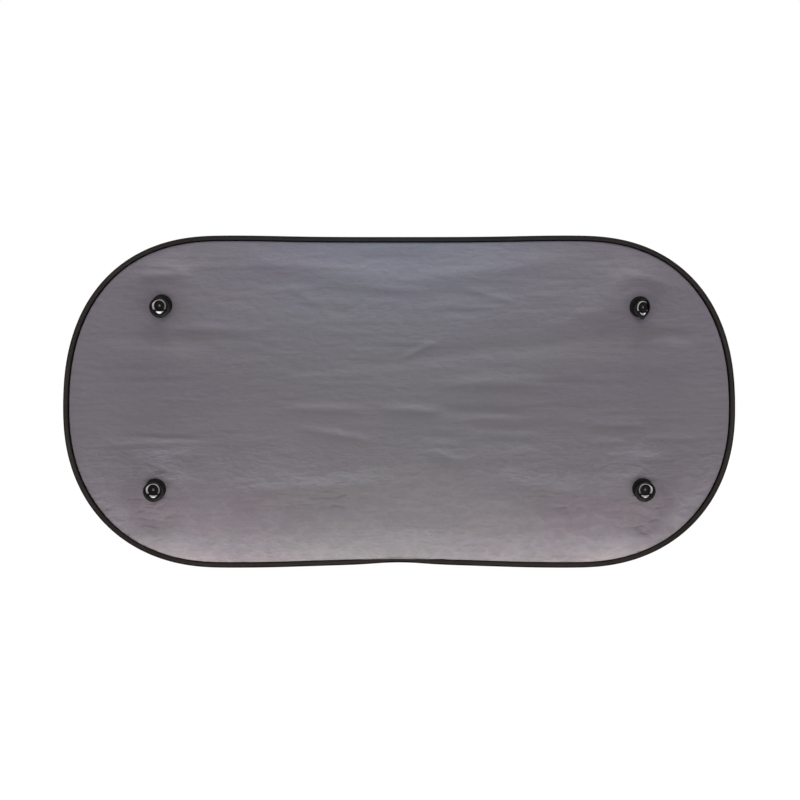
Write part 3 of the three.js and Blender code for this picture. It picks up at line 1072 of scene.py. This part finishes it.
def cup_section():
    """Half section as (radius, height towards the glass), millimetres, with rounded turns."""
    button = [(0, -6.2), (3.0, -6.2), (3.8, -6.0), (4.6, -5.6), (5.1, -5.0), (5.2, -4.7), (5.1, -4.4),
              (4.8, -4.2), (3.4, -4.2), (3.05, -4.0), (3.0, -3.6)]
    boss = [(3.0, 4.1), (3.2, 4.4), (4.9, 4.4), (5.4, 4.6), (5.6, 5.1), (5.6, 6.1), (5.9, 6.7)]
    bell = [(6.8, 7.2), (8.4, 7.7), (9.8, 8.5), (11.2, 10.0), (12.6, 11.6), (13.8, 13.1), (14.8, 14.3)]
    lip = [(15.4, 14.85), (15.66, 15.1), (15.6, 15.32), (15.35, 15.46), (14.9, 15.46), (14.5, 15.3)]
    hollow = [(12.0, 12.6), (11.4, 12.25), (10.4, 11.78), (9.4, 11.38), (8.5, 11.05), (8.0, 10.85),
              (7.7, 10.55), (7.5, 10.15)]
    gate = [(7.3, 9.85), (6.9, 9.8), (4.0, 9.78), (2.2, 9.8), (1.6, 9.86), (1.3, 10.1), (0.9, 10.24),
            (0, 10.28)]
    return button + boss + bell + lip + lip_rings() + hollow + gate


SECTION = cup_section()
print("cup section of", len(SECTION), "points")

# %% [markdown]
# ### Soft cups
# Soft vinyl does not stay a true turned form. The hollow has shifted inside its lip, up and towards
# the near end of the shade, and has turned a little. One cup is squashed as well: its lower rim is
# drawn together and its outer side is pressed in. A map of the hollow is made before it is moved,
# so that the painted reflections stay with the material.

# %% Makers for a soft cup
SPIN_STEPS = 96
CHART_SCALE = 40
SHIFT_UP, SHIFT_OUT, SHIFT_TURN = 2.0, 0.9, math.radians(8)
SHIFT_RADIUS, SHIFT_RUN = 14.6, 2.6
INSIDE_RADII, INSIDE_HEIGHTS = [7.2, 8.5, 12.1, 14.8], [8.4, 9.4, 12.0, 14.9]
PINCHED = "cup_top_right"
PINCH, PINCH_START, PINCH_FOOT = 0.5, 3.0, 6.5
STIFF_RADIUS, SOFT_RUN = 5, 8
TAPER, TAPER_START, TAPER_RUN = 0.5, 2, 14


def spin_section(name):
    """The section as a chain of edges, spun about Z."""
    mesh = bpy.data.meshes.new(name)
    mesh.from_pydata([(r * MM, 0, h * MM) for r, h in SECTION],
                     [(i, i + 1) for i in range(len(SECTION) - 1)], [])
    cup = bpy.data.objects.new(name, mesh)
    bpy.context.scene.collection.objects.link(cup)
    choose(cup)
    bpy.ops.object.mode_set(mode="EDIT")
    bpy.ops.mesh.select_all(action="SELECT")
    bpy.ops.mesh.spin(steps=SPIN_STEPS, angle=2 * math.pi, center=(0, 0, 0), axis=(0, 0, 1),
                      dupli=False)
    bpy.ops.mesh.select_all(action="SELECT")
    bpy.ops.mesh.remove_doubles(threshold=0.001 * MM)
    bpy.ops.mesh.normals_make_consistent(inside=False)
    bpy.ops.object.mode_set(mode="OBJECT")
    bpy.ops.object.shade_smooth_by_angle(angle=math.radians(60))
    return cup


def pinch(points, radius, side):
    """Presses the outer side in and draws the lower part together, more towards the lip."""
    soft = smooth_step((radius - STIFF_RADIUS) / SOFT_RUN) * (points[:, 2] > PINCH_FOOT)
    points[:, 0] -= soft * PINCH * np.maximum(points[:, 0] * side - PINCH_START, 0) * side
    points[:, 0] *= 1 - soft * TAPER * smooth_step((-points[:, 1] - TAPER_START) / TAPER_RUN)


def make_cup(name, side, pinched):
    """A cup for one side of the shade, -1 or 1. A squashed one is painted to shine on its inner side."""
    cup = spin_section(name)
    points = points_of(cup) / MM
    radius = np.hypot(points[:, 0], points[:, 1])
    inside = points[:, 2] > np.interp(radius, INSIDE_RADII, INSIDE_HEIGHTS)
    lit_side = -side if pinched else side
    place = np.where(inside[:, None], points[:, :2] * (lit_side, 1) / CHART_SCALE + 0.5, 0)
    add_chart(cup, "hollow", place[corner_points(cup)])
    share = inside * smooth_step((SHIFT_RADIUS - radius) / SHIFT_RUN)
    points[:, 0] += share * SHIFT_OUT * side
    points[:, 2] -= share * points[:, 1] * math.tan(SHIFT_TURN)
    points[:, 1] += share * SHIFT_UP
    if pinched:
        pinch(points, radius, side)
    move_points(cup, points * MM)
    return cup


print("the hollow sits", SHIFT_UP, "mm up and", SHIFT_OUT, "mm outwards in its lip")

# %% [markdown]
# ### Where a cup shines
# Each hollow shows a broad bright arch and a small smile below it. They are reflections of a room
# that this studio doesn't have, so they aren't left to the lamps: they are drawn as glossy
# stretches in the map of the hollow, with a touch on the moulding gate and a faint shine by the
# lip. Their coat has a far higher index than real vinyl, to be bright enough. The price is that
# they turn with the cup, which a real reflection wouldn't do.

# %% Glossy stretches
ARCH_BAND, ARCH_ABOVE = (8.4, 10.8), (-5.6, -4.6)
ARCH_THINNING, THINNING_RUN = 0.6, (-9, 4)
ARCH_INNER, ARCH_OUTER, ARCH_RUN = 0.42, 0.85, (-6, 8)
SMILE_LEVEL, SMILE_BEND = -10.0, 1 / 16
SMILE_HALF_HEIGHT, SMILE_HALF_LENGTH = 1.45, 5.8
SMILE_EDGE = (0.8, 1.2)
GATE_RADIUS, GATE_SHINE = 1.7, 0.2
LIP_BAND, LIP_SHINE = (12.8, 15.8), 0.12

cup_finish, tree, shader = new_material("black_soft_vinyl", (0.008, 0.007, 0.007), 0.1, ior=1.52,
                                        coat_roughness=0.06, coat_ior=3.2)


def band(tree, value, low, high, edge=0.4):
    """One between the two limits and zero outside, with soft edges."""
    return times(tree, rises(tree, value, low - edge / 2, low + edge / 2),
                 falls(tree, value, high - edge / 2, high + edge / 2))


out, up = [times(tree, math_of(tree, "SUBTRACT", part, 0.5), CHART_SCALE)
           for part in list(axes(tree, chart(tree, "UV")))[:2]]
radius = math_of(tree, "SQRT", plus(tree, times(tree, out, out), times(tree, up, up)))
thinned = plus(tree, radius, between(tree, out, ARCH_THINNING, 0, *THINNING_RUN))
arch = times(tree, band(tree, thinned, *ARCH_BAND), rises(tree, up, *ARCH_ABOVE),
             between(tree, out, ARCH_INNER, ARCH_OUTER, *ARCH_RUN))
bend = times(tree, times(tree, out, out), SMILE_BEND)
smile_up = times(tree, math_of(tree, "SUBTRACT", plus(tree, up, -SMILE_LEVEL), bend),
                 1 / SMILE_HALF_HEIGHT)
smile_out = times(tree, out, 1 / SMILE_HALF_LENGTH)
from_smile = plus(tree, times(tree, smile_up, smile_up), times(tree, smile_out, smile_out))
smile = falls(tree, from_smile, *SMILE_EDGE)
gate = times(tree, band(tree, radius, -1, GATE_RADIUS, 1.0), GATE_SHINE)
# Painted reflections: the arch, the smile and a touch on the moulding gate, then a faint one by the lip.
painted_reflection = largest(tree, arch, smile, gate)
lip_shine = times(tree, band(tree, radius, *LIP_BAND), LIP_SHINE)
print("arch from", ARCH_BAND[0], "to", ARCH_BAND[1], "mm off the axis")

# %% [markdown]
# ### Vinyl finish
# The vinyl itself is a warm black with a faint haze, and ripples slightly as thin mouldings do.
# The painted reflections are tinted too, bluish on one side for daylight and warm on the other.

# %% Cup material
VINYL = (0.004, 0.003, 0.0028), (0.009, 0.0065, 0.006)
COOL_SHINE, WARM_SHINE = (0.62, 0.72, 0.92), (0.97, 0.93, 0.86)
TINT_RUN = (-6, 4)
DULL_LEVEL = 0.05

haze = noise(tree, stretched(tree, (160, 160, 160)), detail=4)
ripple = noise(tree, stretched(tree, (300, 300, 300)), detail=2)
# The coat and the raised shine give the painted reflections, and their tint is painted too.
feed(tree, shader, base_color=blend(tree, haze, *VINYL),
     roughness=between(tree, haze, 0.1, 0.22, 0.3, 0.7),
     specular_ior_level=between(tree, largest(tree, painted_reflection, lip_shine), DULL_LEVEL, 1.0),
     coat_weight=painted_reflection,
     coat_tint=blend(tree, rises(tree, out, *TINT_RUN), COOL_SHINE, WARM_SHINE),
     normal=bump(tree, ripple, 0.02 * MM, 0.3))
print("cup finish of", len(tree.nodes), "nodes")

# %% [markdown]
# ### Setting the cups
# The hollow shifts towards the near end of the shade, so a cup is formed for each hole. It is set
# along its own leaning axis and rides on its own body, which turns in the hole.

# %% Set the cups
for place, axis, body in HOLES:
    corner = body.replace("cup_", "")
    cup_form = make_cup("cup_form", math.copysign(1, place.x), body == PINCHED)
    cup = settle(cup_form, f"vinyl_cup_{corner}", along_axis(place, axis), body,
                 cup_finish)
    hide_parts(f"suction_cup_{corner}")
    bpy.data.objects.remove(cup_form)
    print(cup.name, len(cup.data.polygons), "faces")

# %% [markdown]
# ## Wire and sleeve
# Both lie hidden in the fold of the tape, and keep their measured shapes. They still get a real
# finish: drawn spring steel with fine lines along it, and a pressed aluminium sleeve.

# %% Metal finishes
METALS = {
    "spring_wire": dict(name="drawn_spring_steel", average=(0.42, 0.43, 0.45), dark=(0.36, 0.37, 0.39),
                        bright=(0.5, 0.51, 0.53), grain=(60, 900, 900), smooth=0.22, rough=0.42,
                        relief=0.03 * MM),
    "wire_sleeve": dict(name="pressed_aluminium", average=(0.6, 0.61, 0.62), dark=(0.5, 0.51, 0.52),
                        bright=(0.68, 0.69, 0.7), grain=(300, 500, 500), smooth=0.28, rough=0.46,
                        relief=0.05 * MM),
}


def metal_finish(name, average, dark, bright, grain, smooth, rough, relief):
    finish, tree, shader = new_material(name, average, (smooth + rough) / 2, metallic=1.0)
    pattern = noise(tree, stretched(tree, grain), detail=3)
    feed(tree, shader, roughness=between(tree, pattern, smooth, rough),
         base_color=blend(tree, pattern, dark, bright), normal=bump(tree, pattern, relief, 0.4))
    return finish


for node_name, look in METALS.items():
    metal = frame["nodes"][node_name]
    metal.data.materials.clear()
    metal.data.materials.append(metal_finish(**look))
    print(node_name, "in", look["name"].replace("_", " "))
